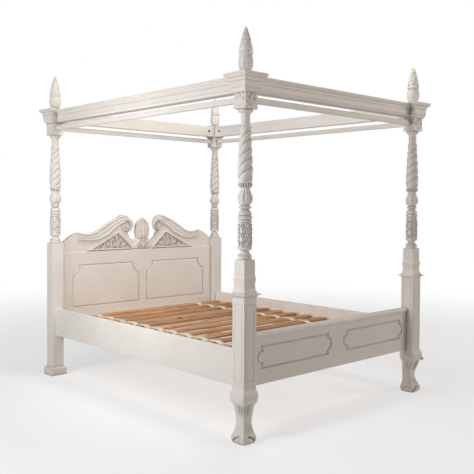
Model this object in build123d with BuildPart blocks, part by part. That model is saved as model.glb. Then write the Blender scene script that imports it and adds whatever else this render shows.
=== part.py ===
from build123d import *

import math
import os

os.makedirs("parts", exist_ok=True)

# A miniature four poster bed at 1:12, in millimetres.
# +X is the right side seen from the foot, +Y the head end, +Z up. The origin is on the floor,
# under the middle of the bed.

# ---- Driving dimensions ------------------------------------------------------------------

overall_width = 138.0           # across the outer faces of the square posts
overall_length = 177.4
total_height = 184.0            # floor to finial tip
post_side = 7.5
glue_gap = 0.05                 # round a dowel in its hole

leg_height = 24.1               # carved leg, below the square block of a foot post
collar_z = 64.9
collar_height = 2.1
collar_overhang = 1.4
taper_top_side = 6.3            # a foot post narrows to this above its collar
lower_post_top = 81.4
plinth_height = 5.7
plinth_overhang = 1.3

block_z = 147.6                 # square block at the top of an upper post
capital_z = 154.7
capital_top = 163.2
capital_overhang = 3.3
cornice_z = 155.2
cornice_top = 162.4
cornice_setback = 0.7           # cornice top edge behind the posts' outer faces
curtain_rail_z = 150.6
curtain_rail_side = 2.6
curtain_rail_round = 0.25

rail_z = 24.4
rail_height = 16.5
rail_thickness = 2.6
rail_setback = 2.5              # side rail behind the posts' outer faces
rail_round = 0.3
footboard_z = 24.1
footboard_height = 21.6
footboard_thickness = 2.8
footboard_setback = 3.7
foot_cap_height = 2.0
headboard_height = 51.2         # from rail_z to the top of the frame
headboard_thickness = 3.2
headboard_advance = 0.95        # headboard front, ahead of the head posts' middles
tenon_length = 2.5
tenon_thickness = 1.2
tenon_shoulder = 2.0            # a tenon is this much shorter than its rail, top and bottom

ledger_width = 4.8
ledger_height = 2.7
ledger_chamfer = 0.2
ledger_end_gap = 1.0            # from a ledger's end to the post
slat_count = 13
slat_pitch = 12.64
slat_width = 6.0
slat_thickness = 1.6
slat_length = 122.4
slat_top = 35.3
slat_round = 0.6
tape_width = 3.4
tape_thickness = 0.3
tape_x = 40.9
tape_sag = 0.9
tape_edge = 0.3                 # a tape leaves a slat this far inside its edge
deck_gap = 0.05                 # between the loose slats and the ledgers

# ---- Worked out from them ----------------------------------------------------------------

half_side = post_side / 2
post_x = overall_width / 2 - half_side
post_y = overall_length / 2 - half_side
inner_x = post_x - half_side
inner_y = post_y - half_side
rail_x = overall_width / 2 - rail_setback - rail_thickness / 2
footboard_y = -overall_length / 2 + footboard_setback + footboard_thickness / 2
headboard_front = post_y - headboard_advance
headboard_y = headboard_front + headboard_thickness / 2
headboard_top = rail_z + headboard_height
slat_bottom = slat_top - slat_thickness

corners = {
    "foot_left": (-1, -1),
    "foot_right": (1, -1),
    "head_left": (-1, 1),
    "head_right": (1, 1),
}


def write(piece, label):
    """Name a finished piece and write its STEP file."""
    piece.label = label
    export_step(piece, f"parts/{label}.step")


def outline(start, steps):
    """Draw one open line. A step is an end point, or a middle and an end point of an arc."""
    here = start
    for step in steps:
        if len(step) == 2:
            Line(here, step)
            here = step
        else:
            ThreePointArc(here, step[:2], step[2:])
            here = step[2:]


def upright(x, y, z=0.0):
    """A horizontal plane over the point (x, y) of the floor."""
    return Plane(origin=(x, y, z))


def side_on(outward, x=0.0, y=0.0):
    """An upright plane at (x, y): u runs outward, v runs up, and its normal runs along the side."""
    out = Vector(*outward)
    return Plane(origin=(x, y, 0), x_dir=out, z_dir=out.cross(Vector(0, 0, 1)))


mitre_reach = 12                # longer than any of the mitred mouldings is wide


def mitred(x, y, draw):
    """A square block whose four sides all have the moulding that draw() outlines."""
    with BuildPart() as block:
        with BuildSketch(side_on((1, 0, 0), x, y)):
            with BuildLine():
                draw()
            make_face()
        extrude(amount=mitre_reach, both=True)
        with BuildSketch(side_on((0, 1, 0), x, y)):
            with BuildLine():
                draw()
            make_face()
        extrude(amount=mitre_reach, both=True, mode=Mode.INTERSECT)
    return block.part


def both_sides(right_steps, start):
    """Close a right-hand outline with its mirror image about the vertical line u = 0."""
    outline(start, right_steps)
    mirror(about=Plane.YZ)


# ---- Lower posts -------------------------------------------------------------------------

# A carved leg is a square cabriole: (height, side, shift outwards along the diagonal).
leg_sections = [
    (0.0, 6.6, 0.2),
    (1.4, 7.8, 0.3),
    (2.8, 7.9, 0.3),
    (5.0, 6.3, 0.0),
    (8.0, 5.0, -0.6),
    (12.0, 5.3, -0.6),
    (16.0, 6.9, 0.1),
    (20.0, 8.9, 0.5),
    (22.4, 8.7, 0.3),
    (leg_height, post_side, 0.0),
]
corner_round = 0.3
dowel_radius = 1.5
dowel_length = 4.8
taper_z = collar_z + collar_height
taper_angle = math.degrees(math.atan2((post_side - taper_top_side) / 2, lower_post_top - taper_z))

for name, (side_x, side_y) in corners.items():
    x = side_x * post_x
    y = side_y * post_y
    is_foot = side_y < 0
    with BuildPart() as lower_post:
        if is_foot:
            for height, side, shift in leg_sections:
                step = shift * math.sqrt(0.5)
                with BuildSketch(upright(x + side_x * step, y + side_y * step, height)):
                    RectangleRounded(side, side, corner_round)
            loft()
            with BuildSketch(upright(x, y, leg_height)):
                RectangleRounded(post_side, post_side, corner_round)
            extrude(amount=taper_z - leg_height)
            with BuildSketch(upright(x, y, taper_z)):
                RectangleRounded(post_side, post_side, corner_round)
            extrude(amount=lower_post_top - taper_z, taper=taper_angle)
        else:
            with BuildSketch(upright(x, y)):
                RectangleRounded(post_side, post_side, corner_round)
            extrude(amount=lower_post_top)
        with Locations((x, y, lower_post_top)):
            Hole(dowel_radius + glue_gap, depth=dowel_length + glue_gap)
        # Mortises: one for the side rail, one for the footboard or headboard.
        rail_mid = rail_z + rail_height / 2
        with Locations((side_x * rail_x, side_y * inner_y, rail_mid)):
            Box(tenon_thickness, 2 * tenon_length, rail_height - 2 * tenon_shoulder,
                mode=Mode.SUBTRACT)
        board_y = footboard_y if is_foot else headboard_y
        board_z = footboard_z if is_foot else rail_z
        board_height = footboard_height if is_foot else headboard_height
        with Locations((side_x * inner_x, board_y, board_z + board_height / 2)):
            Box(2 * tenon_length, tenon_thickness, board_height - 2 * tenon_shoulder,
                mode=Mode.SUBTRACT)
    write(lower_post.part, f"{name}_post")


def collar_profile():
    """A thin flange with a hollow below it and a sloping top."""
    edge = half_side + collar_overhang
    base = half_side + 0.25
    both_sides([
        (base, collar_z),
        (base + 0.15, collar_z + 0.7, edge - 0.2, collar_z + 0.95),
        (edge, collar_z + 0.95),
        (edge, collar_z + 1.45),
        (base + 0.5, collar_z + 1.6, base, collar_z + collar_height),
        (0, collar_z + collar_height),
    ], (0, collar_z))


def plinth_profile():
    """A flat plinth with a hollow moulding at its top."""
    edge = half_side + plinth_overhang
    both_sides([
        (edge, 0),
        (edge, 4.1),
        (edge - 0.3, 4.4),
        (half_side + 0.35, 4.7, half_side + 0.2, plinth_height),
        (0, plinth_height),
    ], (0, 0))


for name, (side_x, side_y) in corners.items():
    x = side_x * post_x
    y = side_y * post_y
    is_foot = side_y < 0
    block = mitred(x, y, collar_profile if is_foot else plinth_profile)
    with BuildPart() as moulding:
        add(block)
        with BuildSketch(upright(x, y)):
            RectangleRounded(post_side, post_side, corner_round)
        extrude(amount=total_height, mode=Mode.SUBTRACT)
    write(moulding.part, f"{name}_collar" if is_foot else f"{name}_plinth")


# ---- Upper posts: turned and carved, with a square block that the canopy joins -------------

turned_steps = [
    (dowel_radius, lower_post_top - dowel_length),
    (dowel_radius, lower_post_top),
    (3.0, lower_post_top),
    (3.15, 82.2, 2.85, 83.0),           # base torus
    (3.3, 83.5),
    (2.3, 84.2, 1.95, 85.3),            # hollow
    (2.6, 85.6),
    (3.3, 86.2, 2.95, 86.8),            # bead
    (3.28, 87.1),
    (3.28, 98.5),                       # carved drum
    (3.0, 98.8),
    (3.35, 99.8, 3.0, 100.9),           # torus
    (2.9, 102.0, 1.85, 103.2),          # shoulder
    (1.85, 103.9),
    (2.8, 104.6),                       # sharp ring
    (2.5, 105.3),
    (2.3, 105.9),
    (3.45, 108.3, 2.75, 110.9),         # vase
    (2.2, 111.9, 2.1, 112.8),
    (3.0, 113.4),
    (3.2, 114.3, 2.95, 115.1),          # gadrooned ring
    (3.36, 119.0),                      # barley twist
    (3.04, 127.6),
    (2.35, 138.9),
    (2.75, 139.5, 2.35, 140.1),         # bead
    (2.1, 140.6, 2.08, 141.3),
    (2.08, 144.4),                      # neck
    (2.3, 145.6, 3.3, 146.4),           # flare
    (3.3, 147.0),
    (3.1, block_z),
    (0, block_z),
]
block_flange = 0.35
block_flange_height = 0.7

for name, (side_x, side_y) in corners.items():
    x = side_x * post_x
    y = side_y * post_y
    with BuildPart() as upper_post:
        with BuildSketch(side_on((1, 0, 0), x, y)):
            with BuildLine():
                outline((0, lower_post_top - dowel_length), turned_steps)
                Line((0, block_z), (0, lower_post_top - dowel_length))
            make_face()
        revolve(axis=Axis((x, y, 0), (0, 0, 1)))
        with BuildSketch(upright(x, y, block_z)):
            Rectangle(post_side + 2 * block_flange, post_side + 2 * block_flange)
        extrude(amount=block_flange_height)
        with BuildSketch(upright(x, y, block_z)):
            RectangleRounded(post_side, post_side, corner_round)
        extrude(amount=capital_z - block_z)
    write(upper_post.part, f"{name}_upper_post")


# ---- Canopy: cornices, the capitals that break forward over the posts, and curtain rails ---

def cornice_steps():
    """Outer mouldings, as distances from the posts' outer faces."""
    edge = -cornice_setback
    return [
        (edge - 2.5, cornice_z),
        (edge - 1.8, cornice_z + 0.6, edge - 1.6, cornice_z + 1.5),     # hollow
        (edge - 1.4, cornice_z + 1.5),
        (edge - 1.4, cornice_top - 3.1),                                # fascia
        (edge - 1.1, cornice_top - 3.1),
        (edge - 1.1, cornice_top - 2.5),
        (edge - 1.0, cornice_top - 1.9, edge - 0.6, cornice_top - 1.6),  # cyma
        (edge - 0.2, cornice_top - 1.3, edge - 0.1, cornice_top - 0.8),
        (edge, cornice_top - 0.8),
        (edge, cornice_top),
        (-post_side, cornice_top),
    ]


def capital_profile():
    """The same mouldings, further out, from the middle of the post."""
    edge = half_side + capital_overhang
    both_sides([
        (edge - 2.6, capital_z),
        (edge - 2.6, capital_z + 0.5),
        (edge - 2.2, capital_z + 1.2, edge - 2.0, capital_z + 2.1),     # hollow
        (edge - 1.8, capital_z + 2.1),
        (edge - 1.8, capital_top - 3.6),                                # fascia
        (edge - 1.5, capital_top - 3.6),
        (edge - 1.5, capital_top - 2.9),
        (edge - 1.3, capital_top - 2.3, edge - 0.8, capital_top - 2.0),  # cyma
        (edge - 0.3, capital_top - 1.6, edge - 0.15, capital_top - 1.0),
        (edge, capital_top - 1.0),
        (edge, capital_top),
        (0, capital_top),
    ], (0, capital_z))


# Each side of the bed: (outward direction, distance of the posts' outer faces, half length).
sides = {
    "foot": ((0, -1, 0), overall_length / 2, inner_x),
    "head": ((0, 1, 0), overall_length / 2, inner_x),
    "left": ((-1, 0, 0), overall_width / 2, inner_y),
    "right": ((1, 0, 0), overall_width / 2, inner_y),
}
nut_radius = 0.9
nut_recess = 1.4
nut_from_end = 5.0
nut_z = 159.0
cornices = {}
nuts = []
for name, (outward, reach, half_length) in sides.items():
    out_x, out_y, _ = outward
    outward_vector = Vector(*outward)
    along = outward_vector.cross(Vector(0, 0, 1))
    inner_face = reach - post_side
    with BuildPart() as cornice:
        with BuildSketch(side_on(outward, out_x * reach, out_y * reach)):
            with BuildLine():
                outline((-post_side, cornice_z), cornice_steps())
                Line((-post_side, cornice_top), (-post_side, cornice_z))
            make_face()
        extrude(amount=half_length, both=True)
        for end in (-1, 1):
            spot = Vector(out_x * inner_face, out_y * inner_face, nut_z)
            spot += along * end * (half_length - nut_from_end)
            with BuildSketch(Plane(origin=spot, z_dir=outward_vector)):
                Circle(nut_radius)
            extrude(amount=nut_recess, mode=Mode.SUBTRACT)
            nut_face = spot + outward_vector * nut_recess / 2
            nuts.append(Plane(origin=nut_face, z_dir=outward_vector))
    cornices[name] = cornice.part
    write(cornice.part, f"cornice_{name}")

    with BuildPart() as curtain_rail:
        middle = reach - half_side
        with BuildSketch(side_on(outward, out_x * middle, out_y * middle)):
            with Locations((0, curtain_rail_z + curtain_rail_side / 2)):
                RectangleRounded(curtain_rail_side, curtain_rail_side, curtain_rail_round)
        extrude(amount=half_length, both=True)
    write(curtain_rail.part, f"curtain_rail_{name}")

with BuildPart() as barrel_nuts:
    for place in nuts:
        with BuildSketch(place):
            Circle(nut_radius)
        extrude(amount=nut_recess / 2)
write(barrel_nuts.part, "canopy_barrel_nuts")

peg_radius = 1.0
peg_length = 6.0
running_gap = 0.05
peg_room = 0.5                  # left in the hole below the peg
cut_reach = 2 * capital_overhang
under = cornice_z - capital_z
for name, (side_x, side_y) in corners.items():
    x = side_x * post_x
    y = side_y * post_y
    beside_x = cornices["head" if side_y > 0 else "foot"]
    beside_y = cornices["right" if side_x > 0 else "left"]
    block = mitred(x, y, capital_profile)
    with BuildPart() as capital:
        add(block)
        # Nothing overhangs the inside corner, and the cornices' ends are let into the capital.
        middle_z = (capital_z + capital_top) / 2
        cut_x = side_x * (inner_x - cut_reach / 2)
        cut_y = side_y * (inner_y - cut_reach / 2)
        with Locations((cut_x, cut_y, middle_z)):
            Box(cut_reach, cut_reach, 2 * (capital_top - capital_z), mode=Mode.SUBTRACT)
        # Under the cornices' ends the capital is cut back to the post.
        with Locations((cut_x, y, capital_z + under / 2)):
            Box(cut_reach, post_side, under, mode=Mode.SUBTRACT)
        with Locations((x, cut_y, capital_z + under / 2)):
            Box(post_side, cut_reach, under, mode=Mode.SUBTRACT)
        add(beside_x, mode=Mode.SUBTRACT)
        add(beside_y, mode=Mode.SUBTRACT)
        with Locations((x, y, capital_top)):
            Hole(peg_radius + running_gap, depth=peg_length + peg_room)
    write(capital.part, f"{name}_capital")


# ---- Finials: an egg cup and a leaf-carved cone on a peg -----------------------------------

finial_base = capital_top + running_gap
finial_steps = [
    (peg_radius, capital_top - peg_length),
    (peg_radius, finial_base),
    (2.1, finial_base),
    (2.1, finial_base + 0.5),
    (3.05, 165.6, 3.36, 168.4),         # egg cup
    (3.2, 169.9, 2.75, 170.9),
    (2.65, 171.3),
    (3.2, 171.7),
    (3.3, 172.1, 3.1, 172.5),           # ring
    (2.85, 172.7),
    (3.1, 173.8, 2.9, 175.2),           # cone
    (2.2, 180.0, 0.4, 183.7),
    (0, total_height),
]
for name, (side_x, side_y) in corners.items():
    x = side_x * post_x
    y = side_y * post_y
    with BuildPart() as finial:
        with BuildSketch(side_on((1, 0, 0), x, y)):
            with BuildLine():
                outline((0, capital_top - peg_length), finial_steps)
                Line((0, total_height), (0, capital_top - peg_length))
            make_face()
        revolve(axis=Axis((x, y, 0), (0, 0, 1)))
    write(finial.part, f"{name}_finial")


# ---- Side rails, with the ledgers that carry the slats -------------------------------------

screw_radius = 0.75
screw_head = 0.35
screws_per_ledger = 5
screw_from_end = 8.0
ledger_z = slat_bottom - deck_gap - ledger_height
ledger_reach = inner_y - ledger_end_gap
screw_reach = ledger_reach - screw_from_end
screw_spacing = 2 * screw_reach / (screws_per_ledger - 1)
screws = []
for name, side_x in (("left", -1), ("right", 1)):
    x = side_x * rail_x
    inner_face = side_x * (rail_x - rail_thickness / 2)
    with BuildPart() as side_rail:
        with Locations((x, 0, rail_z + rail_height / 2)):
            Box(rail_thickness, 2 * inner_y, rail_height)
        fillet(side_rail.edges().filter_by(Axis.Y), rail_round)
        with Locations((x, 0, rail_z + rail_height / 2)):
            Box(tenon_thickness, 2 * (inner_y + tenon_length), rail_height - 2 * tenon_shoulder)
    write(side_rail.part, f"side_rail_{name}")

    ledger_x = inner_face - side_x * ledger_width / 2
    with BuildPart() as ledger:
        with Locations((ledger_x, 0, ledger_z + ledger_height / 2)):
            Box(ledger_width, 2 * ledger_reach, ledger_height)
        chamfer(ledger.edges().filter_by(Axis.Y), ledger_chamfer)
        for index in range(screws_per_ledger):
            screw_y = index * screw_spacing - screw_reach
            screw_face = inner_face - side_x * ledger_width
            spot = (screw_face, screw_y, ledger_z + ledger_height / 2)
            place = Plane(origin=spot, z_dir=(side_x, 0, 0))
            screws.append(place)
            with BuildSketch(place):
                Circle(screw_radius)
            extrude(amount=screw_head, mode=Mode.SUBTRACT)
            with BuildSketch(place):
                Circle(screw_radius / 2)
            extrude(amount=ledger_width, mode=Mode.SUBTRACT)
    write(ledger.part, f"ledger_{name}")

with BuildPart() as ledger_screws:
    for place in screws:
        with BuildSketch(place):
            Circle(screw_radius)
        extrude(amount=screw_head)
        with BuildSketch(place):
            Circle(screw_radius / 2)
        extrude(amount=ledger_width)
write(ledger_screws.part, "ledger_screws")


# ---- Footboard: a board with two flush fielded panels and a moulded cap ----------------------

groove = 0.6                    # bevel on a panel and on the frame round it: a V groove
foot_panel_depth = 0.9
board_front = footboard_y - footboard_thickness / 2
foot_panel_bottom = 31.5
foot_panel_top = 41.4
foot_panel_from = 7.4           # from the middle of the bed
foot_panel_to = 54.2
foot_panel_notch = 0.5
foot_panel_step = 2.0
foot_panel_bow = 2.5


def mirror_steps(steps):
    """The same outline on the left-hand side."""
    return [tuple(-value if place % 2 == 0 else value for place, value in enumerate(step))
            for step in steps]


def foot_panel_steps():
    """A long panel with small notches at its corners and bowed ends."""
    low = foot_panel_bottom + foot_panel_step
    high = foot_panel_top - foot_panel_step
    middle = (low + high) / 2
    near = foot_panel_from + foot_panel_notch
    far = foot_panel_to - foot_panel_notch
    return [
        (foot_panel_to, foot_panel_bottom),
        (far, low),
        (foot_panel_to + foot_panel_bow, middle, far, high),
        (foot_panel_to, foot_panel_top),
        (foot_panel_from, foot_panel_top),
        (near, high),
        (foot_panel_from - foot_panel_bow, middle, near, low),
        (foot_panel_from, foot_panel_bottom),
    ]


def front(y):
    """An upright plane across the bed at y, seen from the foot: u is X, v is Z."""
    return Plane(origin=(0, y, 0), x_dir=(1, 0, 0), z_dir=(0, -1, 0))


def bevel_openings(board):
    """Bevel the front edges of the pockets that the panels lie in."""
    openings = board.faces().sort_by(Axis.Y)[0].inner_wires()
    chamfer([edge for opening in openings for edge in opening.edges()], groove)


foot_panels = {
    "right": ((foot_panel_from, foot_panel_bottom), foot_panel_steps()),
    "left": ((-foot_panel_from, foot_panel_bottom), mirror_steps(foot_panel_steps())),
}
with BuildPart() as footboard:
    with Locations((0, footboard_y, footboard_z + footboard_height / 2)):
        Box(2 * inner_x, footboard_thickness, footboard_height)
        Box(2 * (inner_x + tenon_length), tenon_thickness, footboard_height - 2 * tenon_shoulder)
    for start, steps in foot_panels.values():
        with BuildSketch(front(board_front)):
            with BuildLine():
                outline(start, steps)
            make_face()
        extrude(amount=-foot_panel_depth, mode=Mode.SUBTRACT)
    bevel_openings(footboard)
write(footboard.part, "footboard")

for name, (start, steps) in foot_panels.items():
    with BuildPart() as foot_panel:
        with BuildSketch(front(board_front)):
            with BuildLine():
                outline(start, steps)
            make_face()
        extrude(amount=-foot_panel_depth)
        chamfer(foot_panel.faces().sort_by(Axis.Y)[0].edges(), groove)
    write(foot_panel.part, f"footboard_panel_{name}")

cap_z = footboard_z + footboard_height
cap_overhang = 0.9
with BuildPart() as footboard_cap:
    with BuildSketch(side_on((0, -1, 0))):
        with BuildLine():
            cap_out = -board_front + cap_overhang
            cap_in = -board_front - footboard_thickness - cap_overhang
            outline((cap_in + 0.5, cap_z), [
                (cap_out - 0.5, cap_z),
                (cap_out - 0.25, cap_z + 0.5),
                (cap_out + 0.1, cap_z + 1.2, cap_out - 0.5, cap_z + foot_cap_height),
                (cap_in + 0.5, cap_z + foot_cap_height),
                (cap_in - 0.1, cap_z + 1.2, cap_in + 0.25, cap_z + 0.5),
                (cap_in + 0.5, cap_z),
            ])
        make_face()
    extrude(amount=inner_x, both=True)
write(footboard_cap.part, "footboard_cap")


# ---- Headboard: a frame with two panels, and a broken pediment with swan necks ---------------

head_panel_depth = 1.2
head_panel_bottom = 40.5
head_panel_top = 66.5
head_panel_from = 3.2
head_panel_to = 53.3
scoop_width = 4.8               # quarter round bite out of each upper corner of a panel
scoop_height = 6.8
frame_bevel = 0.8


def head_panel_steps():
    """A panel with a hollow quarter round at each upper corner."""
    deep = math.sqrt(0.5)
    arc_x = scoop_width * deep
    arc_z = head_panel_top - scoop_height * deep
    return [
        (head_panel_to, head_panel_bottom),
        (head_panel_to, head_panel_top - scoop_height),
        (head_panel_to - arc_x, arc_z, head_panel_to - scoop_width, head_panel_top),
        (head_panel_from + scoop_width, head_panel_top),
        (head_panel_from + arc_x, arc_z, head_panel_from, head_panel_top - scoop_height),
        (head_panel_from, head_panel_bottom),
    ]


head_panels = {
    "right": ((head_panel_from, head_panel_bottom), head_panel_steps()),
    "left": ((-head_panel_from, head_panel_bottom), mirror_steps(head_panel_steps())),
}
with BuildPart() as headboard_frame:
    with Locations((0, headboard_y, rail_z + headboard_height / 2)):
        Box(2 * inner_x, headboard_thickness, headboard_height)
    front_edges = headboard_frame.edges().filter_by(Axis.X).group_by(Axis.Y)[0]
    chamfer(front_edges.sort_by(Axis.Z)[-1], frame_bevel)
    with Locations((0, headboard_y, rail_z + headboard_height / 2)):
        Box(2 * (inner_x + tenon_length), tenon_thickness, headboard_height - 2 * tenon_shoulder)
    for start, steps in head_panels.values():
        with BuildSketch(front(headboard_front)):
            with BuildLine():
                outline(start, steps)
            make_face()
        extrude(amount=-head_panel_depth, mode=Mode.SUBTRACT)
    bevel_openings(headboard_frame)
write(headboard_frame.part, "headboard_frame")

for name, (start, steps) in head_panels.items():
    with BuildPart() as head_panel:
        with BuildSketch(front(headboard_front)):
            with BuildLine():
                outline(start, steps)
            make_face()
        extrude(amount=-head_panel_depth)
        chamfer(head_panel.faces().sort_by(Axis.Y)[0].edges(), groove)
    write(head_panel.part, f"headboard_panel_{name}")

pediment_thickness = 1.9
pediment_setback = 0.9          # the board stands behind the bevelled top of the frame
pediment_front = headboard_front + pediment_setback
board_steps = [
    (inner_x, headboard_top),
    (inner_x, 80.6),
    (59.4, 81.8),
    (54.5, 85.4, 49.2, 87.3),           # shoulder
    (47.0, 86.3),
    (39.5, 86.5, 33.0, 89.3),           # dip and rise behind the swan neck
    (26.5, 93.3, 20.0, 96.2),
    (9.4, 93.6, 12.0, 87.2),            # behind the volute
    (11.3, 85.8),
    (9.9, 82.9, 7.2, 81.6),             # hollow beside the centre ornament
    (0, 81.6),
]
with BuildPart() as pediment_board:
    with BuildSketch(front(pediment_front)):
        with BuildLine():
            both_sides(board_steps, (0, headboard_top))
        make_face()
    extrude(amount=-pediment_thickness)
write(pediment_board.part, "pediment_board")

neck_thickness = 1.6
neck_start = (49.0, 82.5)
neck_steps = [
    (49.2, 87.5),
    (41.5, 86.5, 35.0, 88.8),           # top edge
    (27.2, 93.6, 20.2, 96.8),
    (16.0, 97.6, 11.6, 96.0),
    (8.3, 91.4, 12.6, 86.9),            # round the volute
    (14.2, 87.3),
    (10.1, 90.7, 13.6, 94.1),           # inside of the volute
    (17.0, 92.3),
    (22.3, 89.2, 26.3, 85.8),           # lower edge
    (33.0, 82.6, 40.0, 81.8),
    (45.7, 82.1),
    neck_start,
]
rosette_x = 13.5
rosette_z = 90.7
rosette_radius = 3.0
rosette_thickness = 1.9
rosette_round = 1.2
foliage_thickness = 0.9
foliage_steps = [
    (43.0, headboard_top),
    (20.4, 87.1),
    (18.8, 87.1),
    (8.8, headboard_top),
]
for name, side_x in (("left", -1), ("right", 1)):
    with BuildPart() as swan_neck:
        with BuildSketch(front(pediment_front)):
            with BuildLine():
                steps = neck_steps if side_x > 0 else mirror_steps(neck_steps)
                outline((side_x * neck_start[0], neck_start[1]), steps)
            make_face()
        extrude(amount=neck_thickness)
    write(swan_neck.part, f"swan_neck_{name}")

    with BuildPart() as rosette:
        with BuildSketch(front(pediment_front)):
            with Locations((side_x * rosette_x, rosette_z)):
                Circle(rosette_radius)
        extrude(amount=rosette_thickness)
        fillet(rosette.faces().sort_by(Axis.Y)[0].edges(), rosette_round)
    write(rosette.part, f"rosette_{name}")

    with BuildPart() as foliage:
        with BuildSketch(front(pediment_front)):
            with BuildLine():
                steps = foliage_steps if side_x > 0 else mirror_steps(foliage_steps)
                outline((side_x * foliage_steps[-1][0], headboard_top), steps)
            make_face()
        extrude(amount=foliage_thickness)
    write(foliage.part, f"foliage_{name}")

ornament_thickness = 1.7
base_steps = [
    (7.0, headboard_top),
    (7.6, 77.4, 6.4, 79.0),
    (6.4, 81.0, 5.0, 82.4),
    (0, 82.4),
]
with BuildPart() as ornament_base:
    with BuildSketch(front(pediment_front)):
        with BuildLine():
            both_sides(base_steps, (0, headboard_top))
        make_face()
    extrude(amount=ornament_thickness)
write(ornament_base.part, "ornament_base")

plume_steps = [
    (4.6, 82.4),
    (5.1, 84.2),
    (5.7, 88.5, 4.8, 92.6),
    (2.8, 95.0),
    (0, 96.7),
]
with BuildPart() as plume:
    with BuildSketch(front(pediment_front - ornament_thickness)):
        with BuildLine():
            both_sides(plume_steps, (0, 82.4))
        make_face()
    extrude(amount=-(ornament_thickness + pediment_thickness))
write(plume.part, "centre_plume")


# ---- Slat deck: loose slats on two tapes, which lie on the ledgers ---------------------------

deck_y = 1.0
staple_crown = 2.0
staple_wire = 0.25
staple_leg = 1.0
half_span = (slat_count - 1) * slat_pitch / 2
slat_places = [deck_y - half_span + index * slat_pitch for index in range(slat_count)]
tape_top = slat_top + tape_thickness
tape_flat = slat_width / 2 - tape_edge

with BuildPart() as staples:
    for slat_y in slat_places:
        for side_x in (-1, 1):
            with Locations((side_x * tape_x, slat_y, tape_top + staple_wire / 2)):
                Box(staple_crown, staple_wire, staple_wire)
            for leg in (-1, 1):
                leg_x = side_x * tape_x + leg * (staple_crown - staple_wire) / 2
                with Locations((leg_x, slat_y, tape_top - staple_leg / 2)):
                    Box(staple_wire, staple_wire, staple_leg)
write(staples.part, "tape_staples")

with BuildPart() as slats:
    with BuildSketch(Plane.YZ):
        with Locations((deck_y, slat_bottom + slat_thickness / 2)):
            with GridLocations(slat_pitch, 0, slat_count, 1):
                RectangleRounded(slat_width, slat_thickness, slat_round)
    extrude(amount=slat_length / 2, both=True)
    add(staples.part, mode=Mode.SUBTRACT)
write(slats.part, "slats")

for name, side_x in (("left", -1), ("right", 1)):
    lower_edge = []
    upper_edge = []
    for index, slat_y in enumerate(slat_places):
        if index:
            gap_middle = slat_y - slat_pitch / 2
            lower_edge.append((gap_middle, slat_top - tape_sag, slat_y - tape_flat, slat_top))
        lower_edge.append((slat_y + tape_flat, slat_top))
    for index, slat_y in enumerate(reversed(slat_places)):
        if index:
            gap_middle = slat_y + slat_pitch / 2
            upper_edge.append((gap_middle, tape_top - tape_sag, slat_y + tape_flat, tape_top))
        upper_edge.append((slat_y - tape_flat, tape_top))
    first_y = slat_places[0] - tape_flat
    last_y = slat_places[-1] + tape_flat
    with BuildPart() as tape:
        with BuildSketch(Plane(origin=(side_x * tape_x, 0, 0), x_dir=(0, 1, 0), z_dir=(1, 0, 0))):
            with BuildLine():
                outline((first_y, slat_top),
                        lower_edge + [(last_y, tape_top)] + upper_edge + [(first_y, slat_top)])
            make_face()
        extrude(amount=tape_width / 2, both=True)
        add(staples.part, mode=Mode.SUBTRACT)
    write(tape.part, f"slat_tape_{name}")
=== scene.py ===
import math

import bmesh
import bpy
import numpy as np
from mathutils import Matrix, Vector


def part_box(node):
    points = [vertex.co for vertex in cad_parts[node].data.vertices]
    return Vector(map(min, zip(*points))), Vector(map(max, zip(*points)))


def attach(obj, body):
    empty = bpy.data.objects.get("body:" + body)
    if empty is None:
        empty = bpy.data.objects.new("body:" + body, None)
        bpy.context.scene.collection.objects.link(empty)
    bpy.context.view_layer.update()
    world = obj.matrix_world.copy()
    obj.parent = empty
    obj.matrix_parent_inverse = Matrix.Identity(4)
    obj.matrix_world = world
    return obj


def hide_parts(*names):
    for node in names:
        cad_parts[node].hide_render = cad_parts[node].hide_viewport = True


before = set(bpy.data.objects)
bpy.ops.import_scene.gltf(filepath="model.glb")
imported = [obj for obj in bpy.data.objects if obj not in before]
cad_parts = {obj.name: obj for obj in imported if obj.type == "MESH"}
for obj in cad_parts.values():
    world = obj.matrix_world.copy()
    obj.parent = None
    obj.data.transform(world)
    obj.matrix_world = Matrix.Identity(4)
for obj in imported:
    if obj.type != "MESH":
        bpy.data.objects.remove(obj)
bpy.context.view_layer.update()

# Shapes are worked out in millimetres, in the frame of the CAD, and MM turns them into metres.
MM = 0.001
TURN = 2 * math.pi
FOUR_SIDES = ((1, 0), (0, 1), (-1, 0), (0, -1))


# ---- Camera ----

camera_place = Vector((-0.2800, -0.3105, 0.1059))
camera_azimuth = math.radians(-42.95)
camera_pitch = math.radians(-1.55)
camera_roll = math.radians(0.31)
camera_lens = 53.6
camera_shift_y = -0.029

ahead = Vector((-math.sin(camera_azimuth) * math.cos(camera_pitch),
                math.cos(camera_azimuth) * math.cos(camera_pitch),
                math.sin(camera_pitch)))
camera_data = bpy.data.cameras.new("camera")
camera_data.lens = camera_lens
camera_data.sensor_width = 36.0
camera_data.shift_y = camera_shift_y
camera_data.clip_start = 0.01
camera_data.clip_end = 20.0
camera = bpy.data.objects.new("camera", camera_data)
camera.location = camera_place
camera.rotation_mode = "QUATERNION"
level = ahead.to_track_quat("-Z", "Y").to_matrix()
camera.rotation_quaternion = (level @ Matrix.Rotation(camera_roll, 3, "Z")).to_quaternion()
bpy.context.scene.collection.objects.link(camera)
bpy.context.scene.camera = camera


# ---- Mesh tools ----

def box_mm(name):
    """Lowest and highest corner of a CAD node, in millimetres."""
    low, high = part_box(name)
    return np.array(low) / MM, np.array(high) / MM


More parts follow.
